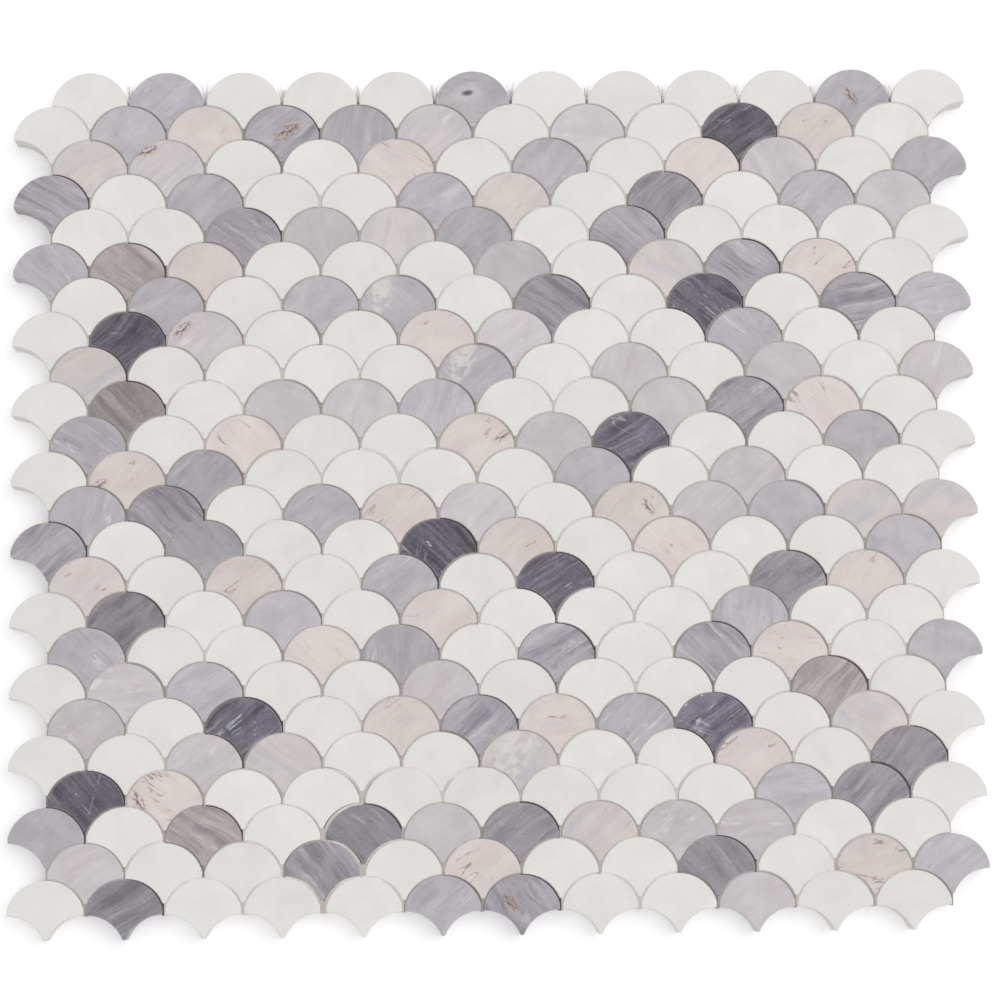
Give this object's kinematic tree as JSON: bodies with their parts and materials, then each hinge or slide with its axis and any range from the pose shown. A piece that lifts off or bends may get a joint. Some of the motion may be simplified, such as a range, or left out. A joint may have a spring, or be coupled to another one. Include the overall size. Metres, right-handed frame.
{
  "type": "fish scale mosaic tile sheet",
  "caption": "Mosaic wall tile sheet of mixed white, grey and cream marble fish scale pieces laid crown up in staggered rows on a fibreglass backing mesh.",
  "frame": {"origin": "under the middle of the sheet, on the underside of the backing mesh", "axes": "+X along the rows, +Y towards the crowns of the scales, +Z out of the face of the tiles"},
  "size_m": [0.3042, 0.2738, 0.0084],
  "materials": {
    "white_marble": "honed",
    "pale_grey_marble": "honed",
    "blue_grey_marble": "honed",
    "striped_grey_marble": "honed",
    "charcoal_marble": "honed",
    "cream_rose_marble": "honed",
    "banded_marble": "honed",
    "backing_mesh": "woven glass fibre"
  },
  "bodies": {
    "root": {"white_marble_scales": "white_marble", "pale_grey_marble_scales": "pale_grey_marble", "blue_grey_marble_scales": "blue_grey_marble", "striped_grey_marble_scales": "striped_grey_marble", "charcoal_marble_scales": "charcoal_marble", "cream_rose_marble_scales": "cream_rose_marble", "banded_marble_scales": "banded_marble", "mesh_panel_1_1": "backing_mesh", "mesh_panel_1_2": "backing_mesh", "mesh_panel_1_3": "backing_mesh", "mesh_panel_2_1": "backing_mesh", "mesh_panel_2_2": "backing_mesh", "mesh_panel_2_3": "backing_mesh", "mesh_panel_3_1": "backing_mesh", "mesh_panel_3_2": "backing_mesh", "mesh_panel_3_3": "backing_mesh"}
  },
  "joints": []
}
